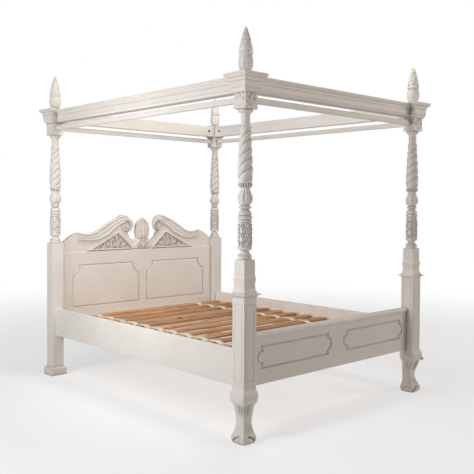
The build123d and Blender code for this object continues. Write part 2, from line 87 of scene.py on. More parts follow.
def grid_faces(rows, columns, closed, start=0):
    """Quads over a grid of points. A closed grid joins its last column to its first."""
    row = np.arange(rows - 1)[:, None]
    column = np.arange(columns if closed else columns - 1)[None, :]
    right = (column + 1) % columns
    corners = np.stack([row * columns + column, row * columns + right,
                        (row + 1) * columns + right, (row + 1) * columns + column], axis=-1)
    return (corners.reshape(-1, 4) + start).tolist()


def stacked(rings):
    """A closed solid from rings of points (rows, columns, 3), with a fan over each end."""
    rows, columns, _ = rings.shape
    ends = np.stack([rings[0].mean(axis=0), rings[-1].mean(axis=0)])
    points = np.vstack([rings.reshape(-1, 3), ends])
    faces = grid_faces(rows, columns, True)
    last = (rows - 1) * columns
    for column in range(columns):
        right = (column + 1) % columns
        faces.append([rows * columns, right, column])
        faces.append([rows * columns + 1, last + column, last + right])
    return points, faces


def slab(front, back):
    """A closed piece between two grids of points of the same shape."""
    rows, columns, _ = front.shape
    count = rows * columns
    faces = grid_faces(rows, columns, False)
    faces += [face[::-1] for face in grid_faces(rows, columns, False, count)]
    edge = list(range(columns))
    edge += [row * columns + columns - 1 for row in range(1, rows)]
    edge += [(rows - 1) * columns + column for column in range(columns - 2, -1, -1)]
    edge += [row * columns for row in range(rows - 2, 0, -1)]
    for here, there in zip(edge, edge[1:] + edge[:1]):
        faces.append([here, here + count, there + count, there])
    return np.vstack([front.reshape(-1, 3), back.reshape(-1, 3)]), faces


def joined(islands):
    """Several solids as the points and faces of one mesh."""
    points = []
    faces = []
    start = 0
    for island_points, island_faces in islands:
        points.append(island_points)
        faces += [[start + index for index in face] for face in island_faces]
        start += len(island_points)
    return np.vstack(points), faces


def make_piece(name, islands, material, body, replaced, sharp):
    """Build one visible piece that stands for a CAD node and rides on a body.

    Edges sharper than sharp, in degrees, stay crisp.
    """
    points, faces = joined(islands)
    mesh = bpy.data.meshes.new(name)
    mesh.from_pydata((points * MM).tolist(), [], faces)
    solid = bmesh.new()
    solid.from_mesh(mesh)
    bmesh.ops.recalc_face_normals(solid, faces=solid.faces)
    solid.to_mesh(mesh)
    solid.free()
    mesh.shade_smooth()
    mesh.set_sharp_from_angle(angle=math.radians(sharp))
    mesh.materials.append(material)
    piece = bpy.data.objects.new(name, mesh)
    bpy.context.scene.collection.objects.link(piece)
    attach(piece, body)
    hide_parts(replaced)
    return piece


def make_painted(name, islands, material, replaced, body="bed", sharp=45):
    """Build one carved and painted piece."""
    make_piece(name, islands, material, body, replaced, sharp)


def all_round(columns):
    """Angles evenly spaced round a full turn, as one row."""
    return np.linspace(0, TURN, columns, endpoint=False)[None, :]


def turned_solid(x, y, radius, angle, height):
    """A closed turned solid about (x, y), from its radii at angles and heights."""
    points = np.broadcast_arrays(x + radius * np.cos(angle), y + radius * np.sin(angle), height)
    return stacked(np.stack(points, axis=-1))


def arc(start, middle, end, spacing):
    """Points along the arc through three points, after the first."""
    a, b, c = (complex(*point) for point in (start, middle, end))
    ratio = (c - a) / (b - a)
    if abs(ratio.imag) < 1e-9:
        return straight(start, end, spacing)
    centre = a + (b - a) * (ratio - abs(ratio) ** 2) / (2j * ratio.imag)
    radius = abs(a - centre)
    first = math.atan2((a - centre).imag, (a - centre).real)
    sweep_end = math.atan2((c - centre).imag, (c - centre).real) - first
    sweep_middle = math.atan2((b - centre).imag, (b - centre).real) - first
    sweep_end %= TURN
    if sweep_middle % TURN > sweep_end:
        sweep_end -= TURN
    count = max(3, math.ceil(abs(sweep_end) * radius / spacing))
    angles = first + sweep_end * np.arange(1, count + 1) / count
    return [(centre.real + radius * math.cos(t), centre.imag + radius * math.sin(t))
            for t in angles]


def straight(start, end, spacing):
    """Points along a line, after the first."""
    length = math.dist(start, end)
    count = max(1, math.ceil(length / spacing))
    return [tuple(np.array(start) + (np.array(end) - np.array(start)) * k / count)
            for k in range(1, count + 1)]


def drawn(start, steps, spacing):
    """An outline as points. A step is an end point, or a middle and an end point of an arc."""
    points = [start]
    for step in steps:
        if len(step) == 2:
            points += straight(points[-1], step, spacing)
        else:
            points += arc(points[-1], step[:2], step[2:], spacing)
    return np.array(points)


def smooth(at, knots):
    """Smooth values at heights, through knots of (height, value)."""
    heights = np.array([knot[0] for knot in knots], float)
    values = np.array([knot[1] for knot in knots], float)
    slopes = np.gradient(values, heights)
    place = np.clip(np.searchsorted(heights, at, side="right") - 1, 0, len(heights) - 2)
    width = heights[place + 1] - heights[place]
    t = np.clip((at - heights[place]) / width, 0, 1)
    return ((2 * t ** 3 - 3 * t ** 2 + 1) * values[place]
            + (t ** 3 - 2 * t ** 2 + t) * width * slopes[place]
            + (3 * t ** 2 - 2 * t ** 3) * values[place + 1]
            + (t ** 3 - t ** 2) * width * slopes[place + 1])


def fade(value, low, high):
    """0 below low, 1 above high, smooth between."""
    t = np.clip((value - low) / (high - low), 0, 1)
    return t * t * (3 - 2 * t)


# ---- Carving ----

def leaf(place, base, tip, width, lift=0.5, curl=0.3, lobes=4, rows=22, columns=11):
    """A lobed leaf with a midrib, from base to tip on a surface.

    Here and below, place(s, h, d) puts a point that is s along, h up and d out from a surface.
    """
    base = np.array(base, float)
    tip = np.array(tip, float)
    along = tip - base
    length = np.hypot(*along)
    along /= length
    across = np.array([along[1], -along[0]])
    v = np.linspace(0, 1, rows)[:, None]
    u = np.linspace(-1, 1, columns)[None, :]
    body = np.sin(math.pi * np.clip(0.12 + 0.88 * v, 0, 1) ** 1.15) ** 0.75
    notch = np.abs(np.sin(math.pi * lobes * v)) ** 0.5
    half = width / 2 * body * (0.72 + 0.28 * notch)
    # The lobes point forward: the edge runs ahead of the midrib.
    h = v * length + np.abs(u) * half * 0.55 * (1 - v)
    s = u * half
    ridge = np.sqrt(np.clip(1 - u ** 2, 0, 1))
    rib = np.exp(-(u / 0.16) ** 2)
    veins = np.cos(TURN * (lobes * v - 0.55 * np.abs(u))) * np.abs(u) * (1 - u ** 2)
    d = lift * (0.75 * ridge - 0.28 * rib + 0.3 * veins) + curl * fade(v, 0.55, 1.0) * ridge
    d = d * fade(v, -0.15, 0.12)
    flat_s = base[0] + along[0] * h + across[0] * s
    flat_h = base[1] + along[1] * h + across[1] * s
    front = place(flat_s, flat_h, d)
    back = place(flat_s, flat_h, np.full_like(d, -0.15))
    return slab(front, back)


# Profile of a boss: (share of its radius, share of its height), from the rim to the middle.
DOME = [(1.0, 0.0), (0.97, 0.35), (0.85, 0.65), (0.6, 0.87), (0.3, 0.97), (0.02, 1.0)]


def boss(place, centre, size, profile=DOME, columns=32):
    """A round boss on a surface. size is its radius and its height."""
    share, rise = np.array([(profile[0][0], -0.1), *profile]).T[:, :, None]
    angle = all_round(columns)
    radius = size[0] * share
    s = centre[0] + radius * np.cos(angle)
    h = centre[1] + radius * np.sin(angle)
    return stacked(place(s, h, size[1] * rise * np.ones_like(angle)))


def strand(place, root, angle, length, bend, width, height, rows=16, columns=7):
    """A half round strand that tapers, and curls more and more towards its tip."""
    t = np.linspace(0, 1, rows)[:, None]
    heading = math.radians(angle) + math.radians(bend) * t ** 1.6
    step = length / (rows - 1)
    moves = np.hstack([np.cos(heading), np.sin(heading)])[:-1]
    run = np.vstack([[[0, 0]], np.cumsum(moves, axis=0) * step])
    u = np.linspace(-1, 1, columns)[None, :]
    half = width / 2 * np.sin(math.pi * (0.16 + 0.78 * t)) ** 0.8
    s = root[0] + run[:, :1] - np.sin(heading) * half * u
    h = root[1] + run[:, 1:] + np.cos(heading) * half * u
    d = height * np.sqrt(1 - 0.9 * u ** 2) * (0.75 + 0.25 * t)
    return slab(place(s, h, d), place(s, h, np.full_like(d, -0.05)))


def face_of(x, y, half, outward):
    """Surface points on one face of a square post at (x, y)."""
    out = np.array(outward, float)
    side = np.array([-out[1], out[0]])

    def place(s, h, d):
        return np.stack([x + side[0] * s + out[0] * (half + d),
                         y + side[1] * s + out[1] * (half + d), h], axis=-1)
    return place


def round_of(x, y, heights, radii):
    """Surface points on a turned shape at (x, y). s is measured round its own girth."""
    girth = float(np.max(radii))

    def place(s, h, d):
        radius = np.interp(h, heights, radii)
        angle = s / girth
        return np.stack([x + (radius + d) * np.cos(angle), y + (radius + d) * np.sin(angle), h],
                        axis=-1)
    return place


def leaves_round(x, y, outline, rows, count, height, width, lift, curl, turn=0.0):
    """Rows of leaves round a turned shape, each row set between the leaves of the one below."""
    order = np.argsort(outline[:, 1])
    heights = outline[order, 1]
    radii = outline[order, 0]
    place = round_of(x, y, heights, radii)
    girth = float(np.max(radii))
    made = []
    for row, low in enumerate(rows):
        for index in range(count):
            s = girth * TURN * (index + 0.5 * (row % 2) + turn) / count
            made.append(leaf(place, (s, low), (s, low + height), width, lift, curl))
    return made


# ---- Materials ----

def new_material(name):
    """A material with its node tree and its shader."""
    material = bpy.data.materials.new(name)
    material.use_nodes = True
    tree = material.node_tree
    shader = tree.nodes["Principled BSDF"]
    return material, tree, shader


def node(tree, kind, **inputs):
    """A node with values on its inputs. Underscores stand for spaces in their names."""
    made = tree.nodes.new(kind)
    for name, value in inputs.items():
        made.inputs[name.replace("_", " ")].default_value = value
    return made


def stretched(tree, stretch):
    """Object coordinates, scaled so that a pattern is drawn out along one axis."""
    place = tree.nodes.new("ShaderNodeTexCoord")
    mapping = node(tree, "ShaderNodeMapping")
    mapping.inputs["Scale"].default_value = stretch
    tree.links.new(place.outputs["Object"], mapping.inputs["Vector"])
    return mapping.outputs["Vector"]


def noise(tree, vector, scale, detail=4.0, roughness=0.55):
    made = node(tree, "ShaderNodeTexNoise", Scale=scale, Detail=detail, Roughness=roughness)
    tree.links.new(vector, made.inputs["Vector"])
    return made.outputs["Fac"]


def ramp(tree, value, stops):
    """A colour ramp through stops of (position, colour)."""
    made = tree.nodes.new("ShaderNodeValToRGB")
    elements = made.color_ramp.elements
    while len(elements) < len(stops):
        elements.new(0.5)
    for element, (position, colour) in zip(elements, stops):
        element.position = position
        element.color = (*colour, 1.0)
    tree.links.new(value, made.inputs["Fac"])
    return made.outputs["Color"]


def mixed(tree, kind, amount, first, second):
    """Two colours mixed. Each value is a constant or another node's output."""
    made = tree.nodes.new("ShaderNodeMix")
    made.data_type = "RGBA"
    made.blend_type = kind
    for socket, value in ((0, amount), (6, first), (7, second)):
        if isinstance(value, bpy.types.NodeSocket):
            tree.links.new(value, made.inputs[socket])
        else:
            made.inputs[socket].default_value = value if socket == 0 else (*value, 1.0)
    return made.outputs[2]


def painted(tree, shader, colour, rough):
    """Put a colour and a roughness on a shader."""
    tree.links.new(colour, shader.inputs["Base Color"])
    tree.links.new(rough, shader.inputs["Roughness"])


def grey(value):
    """A colour with three equal channels."""
    return (value, value, value)


def bumped(tree, shader, layers, bevel=None):
    """Stack bump layers of (height, strength, distance in mm) over a softened edge."""
    normal = None
    if bevel:
        soft = node(tree, "ShaderNodeBevel", Radius=bevel * MM)
        soft.samples = 4
        normal = soft.outputs["Normal"]
    for height, strength, distance in layers:
        made = node(tree, "ShaderNodeBump", Strength=strength, Distance=distance * MM)
        tree.links.new(height, made.inputs["Height"])
        if normal:
            tree.links.new(normal, made.inputs["Normal"])
        normal = made.outputs["Normal"]
    tree.links.new(normal, shader.inputs["Normal"])


PAINT_LIGHT = (0.82, 0.79, 0.755)
PAINT_DARK = (0.785, 0.745, 0.70)
# Colour laid into the hollows: partly an antique glaze, partly painted shade.
GLAZE_AND_SHADE_COLOUR = (0.30, 0.265, 0.23)
STRETCH = {"x": (0.12, 1, 1), "y": (1, 0.12, 1), "z": (1, 1, 0.12)}


def paint(name, grain, bevel, reach, clear, glaze_and_shade_strength):
    """Antique white paint, brushed along the grain, darker in the hollows: partly a glaze left
    there and partly painted shade.

    reach is how far apart, in mm, the walls of a hollow may be. Above the openness clear there
    is no glaze and no painted shade.
    """
    material, tree, shader = new_material(name)
    vector = stretched(tree, STRETCH[grain])
    even = stretched(tree, (1, 1, 1))
    cloud = noise(tree, even, 45, 3.0)
    colour = ramp(tree, cloud, [(0.35, PAINT_DARK), (0.62, PAINT_LIGHT)])
    streak = noise(tree, vector, 900, 5.0, 0.6)
    colour = mixed(tree, "MULTIPLY", 0.22, colour,
                   ramp(tree, streak, [(0.3, grey(0.90)), (0.6, grey(1.0))]))
    # Painted shade: the more closed in a spot is, the more it takes the dark glaze colour, partly
    # real glaze and partly the shadow that falls there.
    hollow = node(tree, "ShaderNodeAmbientOcclusion", Distance=reach * MM)
    hollow.samples = 8
    depth = ramp(tree, hollow.outputs["AO"], [(0.2, grey(glaze_and_shade_strength)), (clear, grey(0.0))])
    colour = mixed(tree, "MIX", depth, colour, GLAZE_AND_SHADE_COLOUR)
    painted(tree, shader, colour, ramp(tree, streak, [(0.3, grey(0.36)), (0.7, grey(0.52))]))
    fine = noise(tree, even, 2600, 3.0)
    bumped(tree, shader, [(streak, 0.25, 0.06), (fine, 0.15, 0.03)], bevel)
    return material


def pine(name):
    """Orange brown pine with long grain, knots and a different tone on each slat."""
    material, tree, shader = new_material(name)
    tone = tree.nodes.new("ShaderNodeAttribute")
    tone.attribute_name = "tone"
    vector = stretched(tree, (0.05, 1, 1))
    shifted = tree.nodes.new("ShaderNodeVectorMath")
    shifted.operation = "ADD"
    tree.links.new(vector, shifted.inputs[0])
    tree.links.new(tone.outputs["Vector"], shifted.inputs[1])
    grain = noise(tree, shifted.outputs[0], 1100, 6.0, 0.65)
    broad = noise(tree, shifted.outputs[0], 260, 3.0)
    colour = ramp(tree, grain, [(0.30, (0.29, 0.135, 0.06)), (0.48, (0.56, 0.31, 0.15)),
                                (0.68, (0.76, 0.48, 0.26))])
    colour = mixed(tree, "MULTIPLY", 0.6, colour,
                   ramp(tree, broad, [(0.35, (0.74, 0.62, 0.54)), (0.62, grey(1.0))]))
    knots = node(tree, "ShaderNodeTexVoronoi", Scale=110.0)
    tree.links.new(stretched(tree, (0.45, 1, 1)), knots.inputs["Vector"])
    in_knot = ramp(tree, knots.outputs["Distance"], [(0.05, grey(0.8)), (0.14, grey(0))])
    colour = mixed(tree, "MIX", in_knot, colour, (0.15, 0.055, 0.02))
    slat_tone = ramp(tree, tone.outputs["Fac"],
                     [(0.0, (0.70, 0.62, 0.56)), (1.0, (1.12, 1.1, 1.08))])
    colour = mixed(tree, "MULTIPLY", 1.0, colour, slat_tone)
    painted(tree, shader, colour, ramp(tree, grain, [(0.3, grey(0.42)), (0.7, grey(0.62))]))
    bumped(tree, shader, [(grain, 0.35, 0.08)])
    return material


def softwood(name):
    """Bare planed wood, for the ledgers."""
    material, tree, shader = new_material(name)
    grain = noise(tree, stretched(tree, STRETCH["y"]), 1200, 5.0, 0.6)
    colour = ramp(tree, grain, [(0.3, (0.50, 0.33, 0.17)), (0.65, (0.74, 0.56, 0.34))])
    painted(tree, shader, colour, ramp(tree, grain, [(0.3, grey(0.55)), (0.7, grey(0.7))]))
    bumped(tree, shader, [(grain, 0.3, 0.06)], 0.2)
    return material


def webbing(name):
    """Plain woven cotton tape."""
    material, tree, shader = new_material(name)
    heights = []
    for direction in ("X", "Y"):
        thread = node(tree, "ShaderNodeTexWave", Scale=330.0, Distortion=0.6)
        thread.bands_direction = direction
        tree.links.new(stretched(tree, (1, 1, 1)), thread.inputs["Vector"])
        heights.append(thread.outputs["Fac"])
    weave = mixed(tree, "MULTIPLY", 1.0, heights[0], heights[1])
    colour = ramp(tree, weave, [(0.0, (0.66, 0.58, 0.46)), (0.5, (0.92, 0.86, 0.74))])
    soil = noise(tree, stretched(tree, (1, 1, 1)), 180, 3.0)
    soiled = ramp(tree, soil, [(0.35, (0.8, 0.74, 0.64)), (0.6, grey(1.0))])
    colour = mixed(tree, "MULTIPLY", 0.5, colour, soiled)
    painted(tree, shader, colour, ramp(tree, soil, [(0.3, grey(0.75)), (0.7, grey(0.92))]))
    shader.inputs["Sheen Weight"].default_value = 0.3
    bumped(tree, shader, [(weave, 0.5, 0.08)])
    return material


def metal(name, colour, roughness, metallic):
    """Drawn or plated metal with fine scratches."""
    material, tree, shader = new_material(name)
    scratch = noise(tree, stretched(tree, (1, 0.2, 1)), 2500, 4.0)
    dull = tuple(0.72 * channel for channel in colour)
    painted(tree, shader, ramp(tree, scratch, [(0.35, dull), (0.6, colour)]),
            ramp(tree, scratch, [(0.3, grey(roughness - 0.08)), (0.7, grey(roughness + 0.12))]))
    shader.inputs["Metallic"].default_value = metallic
    bumped(tree, shader, [(scratch, 0.2, 0.02)])
    return material


# Paint for plain pieces, for mouldings and framed boards, and for three kinds of carving. The
# mouldings and carving get deeper painted shade in their hollows, standing in for the shadows
# there.
PAINT = {grain: paint(f"paint_{grain}", grain, 0.15, 1.1, 0.66, 0.2) for grain in "xyz"}
MOULDED = {grain: paint(f"paint_moulded_{grain}", grain, 0.08, 2.4, 0.93, 1.0) for grain in "xy"}
CARVED = paint("paint_carved", "z", None, 1.5, 0.88, 0.8)
SOFTER = paint("paint_softly_carved", "z", None, 1.0, 0.72, 0.5)
LEG = paint("paint_leg", "z", None, 1.5, 0.86, 0.7)
PINE = pine("pine")
BARE = softwood("bare_softwood")
WEBBING = webbing("cream_webbing")
STAPLE = metal("staple_wire", (0.62, 0.60, 0.57), 0.32, 1.0)
ZINC = metal("zinc", (0.70, 0.68, 0.60), 0.36, 1.0)
BLACK = metal("black_steel", (0.03, 0.03, 0.03), 0.5, 0.0)


def assign(name, material):
    """Give a CAD node that stays its own finished material."""
    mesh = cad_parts[name].data
    mesh.materials.clear()
    mesh.materials.append(material)


# Each corner's direction from the middle of the bed.
CORNERS = {
    "foot_left": (-1, -1),
    "foot_right": (1, -1),
    "head_left": (-1, 1),
    "head_right": (1, 1),
}
for corner in CORNERS:
    assign(f"{corner}_capital", MOULDED["x"])
for side, grain in (("foot", "x"), ("head", "x"), ("left", "y"), ("right", "y")):
    assign(f"cornice_{side}", MOULDED[grain])
    assign(f"curtain_rail_{side}", PAINT[grain])
for side in ("left", "right"):
    assign(f"foot_{side}_collar", MOULDED["x"])
    assign(f"head_{side}_plinth", MOULDED["x"])
    assign(f"head_{side}_post", PAINT["z"])
    assign(f"side_rail_{side}", PAINT["y"])
    assign(f"footboard_panel_{side}", PAINT["x"])
    assign(f"headboard_panel_{side}", PAINT["x"])
    assign(f"ledger_{side}", BARE)
for name in ("footboard", "footboard_cap", "headboard_frame"):
    assign(name, MOULDED["x"])
assign("pediment_board", PAINT["x"])
assign("ledger_screws", ZINC)
assign("canopy_barrel_nuts", BLACK)
assign("tape_staples", STAPLE)


# ---- Foot posts ----

# Sections of the leg: (height, side, shift out along the diagonal).
leg_sections = [
    (0.0, 6.6, 0.2),
    (1.4, 7.8, 0.3),
    (2.8, 7.9, 0.3),
    (5.0, 6.3, 0.0),
    (8.0, 5.0, -0.6),
    (12.0, 5.3, -0.6),
    (16.0, 6.9, 0.1),
    (20.0, 8.9, 0.5),
    (22.4, 8.7, 0.3),
    (24.1, 7.5, 0.0),
]
leg_side = [(height, side) for height, side, _ in leg_sections]
leg_shift = [(height, shift) for height, _, shift in leg_sections]
lip_height = 17.9               # lower edge of the knee
lip_depth = 0.5
knee_boss = 18.6                # height of the boss's middle
boss_radius = 0.95
boss_stand = 0.3                # from the ridge out to the boss's middle, along x and along y
post_side = 7.5
groove_width = 0.34
groove_depth = 0.17
block_inset = 1.35              # incised rectangle, in from the sides of a face
block_low = 27.9
block_high = 61.8


def face_ticks():
    """Places across a face from -1 to 1, closer together at the incised lines."""
    line = 1 - block_inset / (post_side / 2)
    step = groove_width / post_side
    extra = [sign * line + offset * step for sign in (-1, 1) for offset in (-1, 0, 1)]
    return np.unique(np.round(np.concatenate([np.linspace(-1, 1, 33), extra]), 5))[:-1]


def incised(across, height, half):
    """Depth of the rectangle that is cut into each face of a block."""
    reach = groove_width / 2
    from_side = np.abs(np.abs(across) * half - (half - block_inset))
    from_end = np.minimum(np.abs(height - block_low), np.abs(height - block_high))
    inside_ends = (height > block_low - reach) & (height < block_high + reach)
    inside_sides = np.abs(across) * half < half - block_inset + reach
    near_side = np.clip(1 - from_side / reach, 0, 1) * inside_ends
    near_end = np.clip(1 - from_end / reach, 0, 1) * inside_sides
    return groove_depth * np.maximum(near_side, near_end)


def leg_relief(from_ridge, height):
    """Carving on a face of a leg, from the outward ridge at 0 to the far edge at 1."""
    # A deep arch rises from the far edge towards the ridge, over a rounded toe.
    arch = 3.2 - 2.7 * ((from_ridge - 0.37) / 0.56) ** 2
    span = fade(from_ridge, 0.28, 0.42) * (1 - fade(from_ridge, 0.93, 1.0))
    groove = 0.6 * np.exp(-((height - arch) / 0.4) ** 2) * span
    toe = 0.35 * span * fade(arch - height, 0.1, 0.9) * fade(height, -0.3, 0.6)
    below_lip = fade(height, 10.5, 15.0) * (1 - fade(height, lip_height - 0.5, lip_height))
    flutes = 0.3 * np.cos(26 * from_ridge) * (1 - fade(from_ridge, 0.55, 0.8)) * below_lip
    hair = 0.08 * np.cos(34 * from_ridge) * fade(height, 3.8, 5.0) * (1 - fade(height, 7.0, 9.5))
    return toe - groove + flutes + hair


def middle_of(name):
    """Where a CAD node's middle stands on the floor plan, in millimetres."""
    low, high = box_mm(name)
    return (low + high)[:2] / 2


def foot_post(corner, side_x, side_y):
    """A cabriole leg, a block with incised faces and a taper, as rings from the floor up."""
    x, y = middle_of(f"{corner}_upper_post")
    top = box_mm(f"{corner}_post")[1][2]
    collar_low, collar_high = (edge[2] for edge in box_mm(f"{corner}_collar"))
    leg_top = leg_sections[-1][0]
    heights = np.concatenate([
        np.linspace(0, leg_top, 150)[:-1],
        [leg_top, leg_top + 0.02],
        np.linspace(leg_top + 0.5, block_low - 0.5, 8),
        block_low + groove_width / 2 * np.arange(-1, 2),
        np.linspace(block_low + 1, block_high - 1, 24),
        block_high + groove_width / 2 * np.arange(-1, 2),
        [collar_low],
        np.linspace(collar_high - 0.3, top, 34),
    ])
    lip = fade(heights, 12.0, 16.5) * (1 - fade(heights, lip_height - 0.15, lip_height + 0.1))
    side = np.where(heights <= leg_top, smooth(heights, leg_side) - lip_depth * lip, post_side)
    taper = smooth(heights, [(collar_high, 7.9), (68.2, 7.0), (70.5, 6.6), (73.6, 6.95),
                             (74.0, 6.75), (77.0, 6.5), (top, 6.35)])
    side = np.where(heights >= collar_high - 0.3, taper, side)
    shift = np.where(heights <= leg_top, smooth(heights, leg_shift), 0) * math.sqrt(0.5)
    ticks = face_ticks()
    h = heights[:, None]
    half = side[:, None] / 2
    columns = []
    for out in FOUR_SIDES:
        along = (-out[1], out[0])
        # The outward ridge is where both outward faces meet.
        towards_ridge = along[0] * side_x + along[1] * side_y
        from_ridge = (1 - ticks * towards_ridge)[None, :] / 2
        outward = out[0] * side_x + out[1] * side_y > 0
        from_edge = np.minimum(from_ridge, 1 - from_ridge)
        carved = leg_relief(from_ridge, h) * fade(from_edge, 0.0, 0.05) * (1.5 if outward else 0.9)
        swell = 0.25 * (1 - ticks[None, :] ** 2) * fade(h, 4, 8) * (1 - fade(h, 20, 23))
        leg = np.where(h <= leg_top, carved + swell, 0)
        depth = half + leg - incised(ticks[None, :], h, half)
        px = x + side_x * shift[:, None] + out[0] * depth + along[0] * ticks[None, :] * half
        py = y + side_y * shift[:, None] + out[1] * depth + along[1] * ticks[None, :] * half
        columns.append(np.stack([px, py, h * np.ones_like(px)], axis=-1))
    islands = [stacked(np.concatenate(columns, axis=1))]
    # A small boss on the ridge of the knee.
    at = np.array([knee_boss])
    ridge = (smooth(at, leg_side) / 2 + smooth(at, leg_shift) * math.sqrt(0.5))[0]
    out = ridge + boss_stand
    t = np.linspace(0, math.pi, 9)[1:-1, None]
    islands.append(turned_solid(x + side_x * out, y + side_y * out, boss_radius * np.sin(t),
                                all_round(20), knee_boss - boss_radius * np.cos(t)))
    make_painted(f"{corner}_carved_post", islands, LEG, f"{corner}_post", sharp=34)


# ---- Upper posts ----

# Outline of the turning: (radius, height), with a middle and an end point for an arc.
post_steps = [
    (3.0, 81.4),
    (3.15, 82.2, 2.85, 83.0),           # base torus
    (3.3, 83.5),
    (2.3, 84.2, 1.95, 85.3),            # hollow
    (2.3, 85.8),
    (3.25, 86.5, 2.9, 87.1),            # bead
    (2.7, 87.3),
    (2.7, 97.9),                        # carved drum
    (3.2, 98.0),
    (3.2, 98.6),
    (2.75, 98.8),
    (2.75, 99.1),
    (3.3, 99.8, 2.9, 100.6),            # torus
    (2.55, 100.9),
    (3.05, 101.2),
    (2.85, 102.2, 1.85, 103.3),         # shoulder
    (1.85, 103.7),
    (2.6, 104.05),
    (2.95, 104.4, 2.6, 104.8),          # ring
    (1.95, 105.3),
    (2.95, 106.6, 3.35, 108.1),         # vase
    (3.15, 109.5, 2.72, 110.8),
    (2.25, 112.3),
    (2.2, 112.9),
    (2.9, 113.6),
    (3.3, 114.4, 2.95, 115.1),          # gadrooned ring
    (3.36, 119.0),                      # barley twist
    (3.04, 127.6),
    (2.35, 138.9),
    (2.75, 139.5, 2.35, 140.1),         # bead
    (2.1, 140.6, 2.08, 141.3),
    (2.08, 144.4),                      # neck
    (2.3, 145.6, 3.3, 146.4),           # flare
    (3.3, 147.0),
    (3.1, 147.6),
]
twist_low = 115.2
twist_high = 138.8
twist_starts = 3
twist_rise_low = 14.0           # height of one turn at the thick end
twist_rise_high = 11.3
twist_depth = 0.85
gadroons = 16
gadroon_depth = 0.85
drum_radius = 2.7
drum_low = 87.3
drum_high = 97.9
drum_stems = 7
drum_levels = 5
vase_leaves = 8
columns_round = 96
turning_spacing = 0.22          # between the rows of points of a turned outline
block_foot = 147.6              # underside of the carved square block


def twist_at(heights):
    """How far the twist has turned at each height. It turns faster towards the thin end."""
    up = np.clip(heights, twist_low, twist_high) - twist_low
    quicker = (1 / twist_rise_high - 1 / twist_rise_low) / (twist_high - twist_low)
    return TURN * (up / twist_rise_low + quicker * up ** 2 / 2)


def scrolls_round(x, y):
    """Curling stems with small leaves, all over the drum."""
    place = round_of(x, y, [drum_low, drum_high], [drum_radius, drum_radius])
    made = []
    for stem in range(drum_stems):
        s = drum_radius * TURN * stem / drum_stems
        for level in range(drum_levels):
            h = drum_low + 0.1 + level * (drum_high - drum_low - 0.9) / drum_levels
            lean = 1 if (stem + level) % 2 else -1
            made += [
                strand(place, (s, h), 90 - lean * 55, 3.3, lean * 210, 0.62, 0.68, 18),
                strand(place, (s + lean * 0.3, h + 0.2), 90 + lean * 40, 2.0, -lean * 120,
                       0.6, 0.6, 12),
                leaf(place, (s, h + 0.2), (s + lean * 0.5, h + 2.1), 0.9, 0.6, 0.1, 2, 10, 7),
            ]
    return made


def upper_post(corner):
    """A turned and carved post, with a carved square block at its top."""
    x, y = middle_of(f"{corner}_upper_post")
    outline = drawn(post_steps[0], post_steps[1:], turning_spacing)
    radius, height = outline[:, :1], outline[:, 1:]
    angle = all_round(columns_round)
    # The mesh turns with the twist, so that its edges follow the ropes.
    turned = angle + twist_at(height)
    phase = (angle * twist_starts / TURN + 0.20) % 1
    rope = 1 - np.sqrt(np.clip(1 - (2 * phase - 1) ** 2, 0, 1))
    in_twist = (fade(height, twist_low, twist_low + 1.3)
                * (1 - fade(height, twist_high - 1.3, twist_high)))
    radius = radius + in_twist * (0.16 - twist_depth * rope)
    tooth = ((1 - np.cos(gadroons * turned)) / 2) ** 3
    in_ring = fade(height, 113.2, 113.6) * (1 - fade(height, 114.9, 115.3))
    radius = radius - gadroon_depth * in_ring * tooth
    petal = np.abs(np.sin(vase_leaves * turned / 2))
    in_vase = fade(height, 105.9, 107.2) * (1 - fade(height, 111.4, 112.6))
    fluted = 0.05 * np.cos(3 * vase_leaves * turned)
    radius = radius + in_vase * (0.34 * np.sqrt(petal) - 0.26 + fluted)
    islands = [turned_solid(x, y, radius, turned, height)]
    islands += scrolls_round(x, y)
    islands += leaves_round(x, y, outline, (106.2,), vase_leaves, 3.6, 2.0, 0.25, 0.15, 0.5)
    # The square block, with a flange below and a carved leaf on each face.
    block_top = box_mm(f"{corner}_upper_post")[1][2]
    half = post_side / 2
    flange = half + 0.06
    levels = ((flange, block_foot), (flange, block_foot + 0.5), (half, block_foot + 0.7),
              (half, block_top))
    square = [[(x + a * size, y + b * size, z) for a, b in ((-1, -1), (1, -1), (1, 1), (-1, 1))]
              for size, z in levels]
    islands.append(stacked(np.array(square)))
    for outward in FOUR_SIDES:
        place = face_of(x, y, half, outward)
        islands.append(leaf(place, (0, 148.9), (0, 154.2), 2.8, 0.42, 0.2))
        for sign in (-1, 1):
            islands += [
                leaf(place, (sign * 0.3, 148.9), (sign * 2.9, 152.3), 2.0, 0.36, 0.2, 3),
                leaf(place, (sign * 1.2, 151.6), (sign * 2.6, 154.2), 1.2, 0.3, 0.1, 2),
            ]
    make_painted(f"{corner}_carved_upper_post", islands, CARVED, f"{corner}_upper_post", sharp=42)


# ---- Finials ----

finial_steps = [
    (2.1, 163.25),
    (2.1, 163.75),
    (3.05, 165.6, 3.36, 168.4),         # egg cup
    (3.2, 169.9, 2.75, 170.9),
    (2.65, 171.3),
    (3.2, 171.7),
    (3.3, 172.1, 3.1, 172.5),           # ring
    (2.85, 172.7),
    (2.9, 173.6, 2.65, 175.0),          # cone
    (1.55, 179.8, 0.3, 183.5),
    (0.05, 184.0),
]
peg_radius = 1.0
peg_low = 157.2
peg_high = 163.4
cup_lobes = 8


